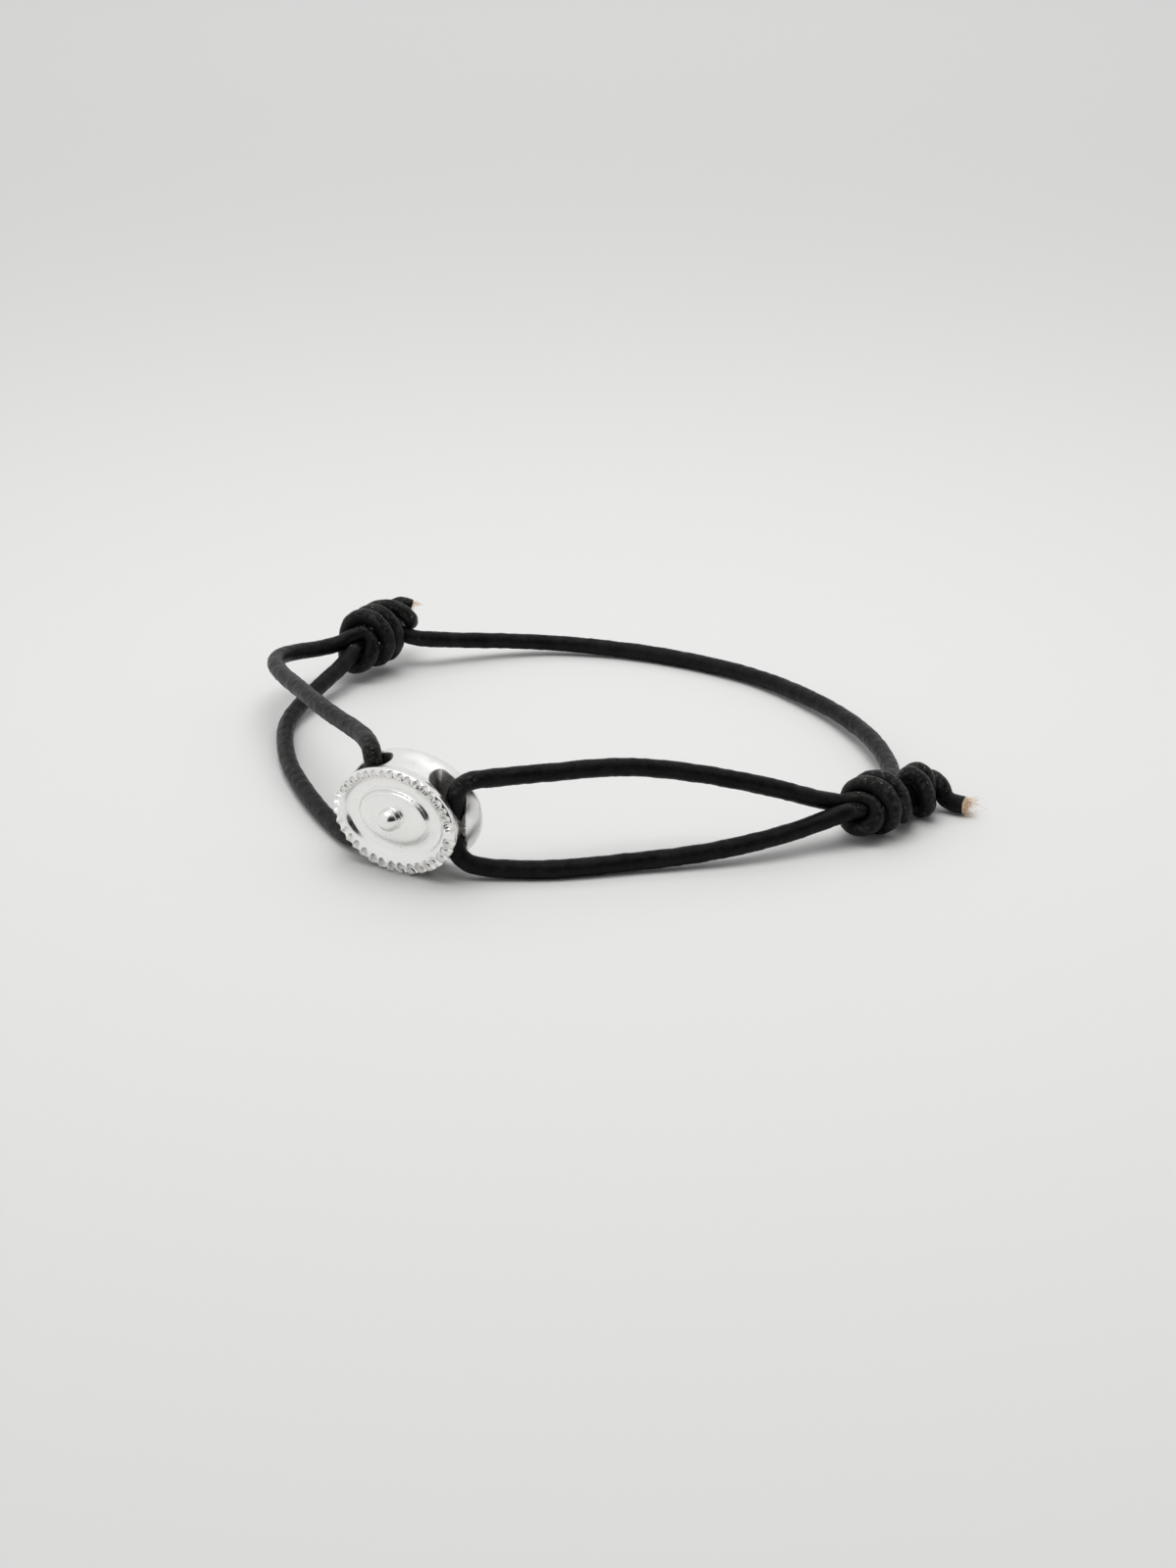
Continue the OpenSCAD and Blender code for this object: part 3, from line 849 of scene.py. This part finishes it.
def bead_piece():
    """The bead as one dense mesh in its place."""
    piece = new_object("silver_bead_cast", bead_body())
    cut_away(piece, slots())
    cut_away(piece, notches())
    add_ball(piece)
    make_one_skin(piece)
    mesh = piece.data
    points = vectors_of(mesh, "co")
    store(mesh, "in_slot", [slot_depth(*point) for point in points])
    store(mesh, "behind_front", points[:, 1])
    waves = np.array([CAST_WAVE * noise.noise(Vector(point) / CAST_WAVE_SIZE) for point in points])
    points = (points + vectors_of(mesh, "normal") * waves[:, None]) * MM + np.array(BEAD_AT)
    mesh.vertices.foreach_set("co", points.ravel())
    smooth_shaded(mesh)
    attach(piece, "root")
    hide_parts("silver_bead")
    return piece


bead = bead_piece()


# Materials

class Nodes:
    """The nodes of a material or of the air, added one after another."""

    def __init__(self, tree):
        self.tree = tree
        self.coordinates = tree.nodes.new("ShaderNodeTexCoord").outputs

    def join(self, value, socket):
        """A number goes into the socket, and another node's output is linked to it."""
        if isinstance(value, bpy.types.NodeSocket):
            self.tree.links.new(value, socket)
        elif value is not None:
            socket.default_value = value

    def noise(self, size, detail=4.0, roughness=0.55, distortion=0.0, where=None):
        """Noise whose features are about this big, in metres."""
        node = self.tree.nodes.new("ShaderNodeTexNoise")
        node.inputs["Scale"].default_value = 1 / size
        node.inputs["Detail"].default_value = detail
        node.inputs["Roughness"].default_value = roughness
        node.inputs["Distortion"].default_value = distortion
        self.join(where or self.coordinates["Object"], node.inputs["Vector"])
        return node.outputs["Fac"]

    def cells(self, size):
        """Distance to the middle of the nearest of many cells, which are about this big."""
        node = self.tree.nodes.new("ShaderNodeTexVoronoi")
        node.feature = "SMOOTH_F1"
        node.inputs["Scale"].default_value = 1 / size
        self.join(self.coordinates["Object"], node.inputs["Vector"])
        return node.outputs["Distance"]

    def stretched(self, across, along):
        """The map along the cord, scaled so that noise on it is this much finer across and along."""
        node = self.tree.nodes.new("ShaderNodeMapping")
        node.inputs["Scale"].default_value = (across, along, 1)
        self.join(self.coordinates["UV"], node.inputs["Vector"])
        return node.outputs["Vector"]

    def ramp(self, value, start, end, low=0.0, high=1.0):
        """The value, eased from low to high between start and end."""
        node = self.tree.nodes.new("ShaderNodeMapRange")
        node.interpolation_type = "SMOOTHSTEP"
        node.inputs["From Min"].default_value = start
        node.inputs["From Max"].default_value = end
        node.inputs["To Min"].default_value = low
        node.inputs["To Max"].default_value = high
        self.join(value, node.inputs["Value"])
        return node.outputs["Result"]

    def math(self, operation, first, second):
        """One step of arithmetic."""
        node = self.tree.nodes.new("ShaderNodeMath")
        node.operation = operation
        self.join(first, node.inputs[0])
        self.join(second, node.inputs[1])
        return node.outputs["Value"]

    def mixed(self, share, first, second):
        """First colour to second colour, by the share."""
        node = self.tree.nodes.new("ShaderNodeMix")
        node.data_type = "RGBA"
        self.join(share, node.inputs["Factor"])
        for value, socket in ((first, node.inputs["A"]), (second, node.inputs["B"])):
            self.join((*value, 1) if isinstance(value, tuple) else value, socket)
        return node.outputs["Result"]

    def attribute(self, name):
        """A value stored on the mesh."""
        node = self.tree.nodes.new("ShaderNodeAttribute")
        node.attribute_name = name
        return node.outputs["Fac"]

    def bump(self, height, distance, strength=1.0, under=None):
        """Relief of this height in metres, on top of another bump."""
        node = self.tree.nodes.new("ShaderNodeBump")
        node.inputs["Strength"].default_value = strength
        node.inputs["Distance"].default_value = distance
        self.join(height, node.inputs["Height"])
        self.join(under, node.inputs["Normal"])
        return node.outputs["Normal"]

    def set(self, **sockets):
        """Values and links of the shader's own sockets, with underscores for spaces."""
        shader = self.tree.nodes["Principled BSDF"]
        for name, value in sockets.items():
            socket = shader.inputs[name.replace("_", " ")]
            self.join((*value, 1) if isinstance(value, tuple) else value, socket)


def new_material(name):
    """A material, and its nodes."""
    material = bpy.data.materials.new(name)
    material.use_nodes = True
    return material, Nodes(material.node_tree)


def black_leather():
    """Satin black leather with a fine grain, and with grey rubbed spots and pale flecks where it bends."""
    material, made = new_material("black_leather")
    tone = made.ramp(made.noise(size=1.1 * MM, detail=7, roughness=0.65), start=0.38, end=0.66)
    colour = made.mixed(tone, LEATHER_BLACK, LEATHER_SOOT)
    outer_side = made.ramp(made.attribute("inner_side"), start=-0.05, end=-0.24)
    rubbed_spots = made.ramp(made.noise(size=0.45 * MM, detail=6, roughness=0.75), start=0.46, end=0.64)
    rubbed = made.math("MULTIPLY", rubbed_spots, outer_side)
    colour = made.mixed(made.math("MULTIPLY", rubbed, RUBBED_SHARE), colour, RUBBED_GREY)
    fleck_spots = made.ramp(made.noise(size=0.2 * MM, detail=2), start=0.685, end=0.72)
    flecks = made.math("MULTIPLY", fleck_spots, outer_side)
    colour = made.mixed(made.math("MULTIPLY", flecks, FLECK_SHARE), colour, FLECK_TAN)
    inner_side = made.ramp(made.attribute("inner_side"), start=0.05, end=0.5)
    lumps = made.noise(size=0.28 * MM, detail=5, roughness=0.65)
    grain = made.cells(size=0.12 * MM)
    pores = made.noise(size=0.09 * MM, roughness=0.7, where=made.stretched(across=1, along=0.5))
    creases = made.noise(size=0.3 * MM, distortion=0.4, where=made.stretched(across=0.35, along=1))
    inner_creases = made.math("MULTIPLY", creases, inner_side)
    relief = made.bump(lumps, distance=0.06 * MM, strength=0.7)
    relief = made.bump(grain, distance=0.02 * MM, strength=0.8, under=relief)
    relief = made.bump(pores, distance=0.03 * MM, strength=0.8, under=relief)
    relief = made.bump(inner_creases, distance=0.08 * MM, strength=0.9, under=relief)
    patches = made.noise(size=0.7 * MM, detail=6, roughness=0.7)
    gloss = made.ramp(patches, start=0.3, end=0.7, low=0.3, high=0.48)
    made.set(Base_Color=colour, Roughness=gloss, Normal=relief, Specular_IOR_Level=0.13)
    return material


def raw_leather():
    """The tan core of the cord, seen where it is cut."""
    material, made = new_material("raw_leather")
    fibre = made.noise(size=0.12 * MM, detail=5)
    colour = made.mixed(made.ramp(fibre, start=0.3, end=0.7), CORE_TAN, CORE_PALE)
    relief = made.bump(fibre, distance=0.05 * MM, strength=0.9)
    made.set(Base_Color=colour, Roughness=0.85, Normal=relief, Specular_IOR_Level=0.25)
    return material


def cast_silver():
    """Cast silver with an uneven skin: polished in front, satin behind, rough in the slots, with painted
    shade deep in them.
    """
    material, made = new_material("cast_silver")
    # Painted shade in the slots: the deeper a point lies in a slot, the darker, less metallic and rougher it
    # is, with blotchy edges.
    deep = made.ramp(made.attribute("in_slot"), start=0.15, end=0.9)
    blotches = made.ramp(made.noise(size=0.5 * MM, detail=5), start=0.25, end=0.6, low=0.75, high=1)
    painted_slot_shade = made.math("MULTIPLY", deep, blotches)
    colour = made.mixed(painted_slot_shade, SILVER_WHITE, SLOT_PAINTED_SHADE)
    metal = made.ramp(painted_slot_shade, start=0, end=1, low=1, high=0.3)
    skin = made.noise(size=0.55 * MM, detail=5, roughness=0.6)
    pits = made.noise(size=0.12 * MM, detail=3)
    relief = made.bump(skin, distance=0.012 * MM, strength=0.6)
    relief = made.bump(pits, distance=0.003 * MM, strength=0.6, under=relief)
    relief = made.bump(made.math("MULTIPLY", pits, painted_slot_shade), distance=0.1 * MM, strength=0.8, under=relief)
    polish = made.ramp(made.noise(size=0.8 * MM), start=0.3, end=0.7, low=0.14, high=0.28)
    satin = made.ramp(made.attribute("behind_front"), start=-1.2, end=-0.6, low=0, high=0.12)
    rough_slots = made.math("MULTIPLY", painted_slot_shade, SLOT_ROUGHNESS)
    rough = made.math("MAXIMUM", made.math("ADD", polish, satin), rough_slots)
    made.set(Base_Color=colour, Metallic=metal, Roughness=rough, Normal=relief)
    return material


leather = black_leather()
core = raw_leather()
for piece in pieces.values():
    piece.data.materials.append(leather)
    piece.data.materials.append(core)
for piece in loose_fibres:
    piece.data.materials.append(core)
bead.data.materials.append(cast_silver())


# Studio

def plain_floor():
    """A wide pale floor under the bracelet."""
    mesh = bpy.data.meshes.new("floor")
    reach = FLOOR_REACH
    corners = [(-reach, -reach, 0), (reach, -reach, 0), (reach, reach, 0), (-reach, reach, 0)]
    mesh.from_pydata(corners, [], [(0, 1, 2, 3)])
    floor = new_object("floor", mesh)
    paper, made = new_material("floor_paper")
    made.set(Base_Color=FLOOR_COLOUR, Roughness=0.7, Specular_IOR_Level=0.2)
    mesh.materials.append(paper)


def soft_light(name, place, size, power):
    """A square soft light that faces down and isn't mirrored in the silver."""
    data = bpy.data.lights.new(name, "AREA")
    data.shape = "SQUARE"
    data.size = size
    data.energy = power
    light = bpy.data.objects.new(name, data)
    light.location = place
    light.visible_glossy = False
    scene.collection.objects.link(light)


def studio_air():
    """A white tent with a bright panel overhead and a wide dark opening at the front right."""
    world = bpy.data.worlds.new("studio_air")
    world.use_nodes = True
    scene.world = world
    air = Nodes(world.node_tree)
    direction = air.coordinates["Generated"]
    strength = TENT_BRIGHT
    for side, edge, share in (
            (PANEL_SIDE, PANEL_EDGE, PANEL_SHARE), (OPENING_SIDE, OPENING_EDGE, OPENING_SHARE)):
        facing = air.tree.nodes.new("ShaderNodeVectorMath")
        facing.operation = "DOT_PRODUCT"
        facing.inputs[1].default_value = Vector(side).normalized()
        air.join(direction, facing.inputs[0])
        part = air.ramp(facing.outputs["Value"], start=edge[0], end=edge[1], low=1, high=share)
        strength = air.math("MULTIPLY", part, strength)
    height = air.tree.nodes.new("ShaderNodeSeparateXYZ")
    air.join(direction, height.inputs["Vector"])
    foot = air.ramp(height.outputs["Z"], start=PALE_FOOT[0], end=PALE_FOOT[1], low=TENT_BRIGHT, high=0)
    background = air.tree.nodes["Background"]
    background.inputs["Color"].default_value = (1, 1, 1, 1)
    air.join(air.math("MAXIMUM", strength, foot), background.inputs["Strength"])


plain_floor()
away = Vector((-math.sin(CAMERA_AZIMUTH), math.cos(CAMERA_AZIMUTH), 0))
for name, (behind, height, size, power) in (("near_light", NEAR_LIGHT), ("far_light", FAR_LIGHT)):
    soft_light(name, CAMERA_AIM + away * behind + Vector((0, 0, height)), size, power)
studio_air()
scene.view_settings.view_transform = "Standard"
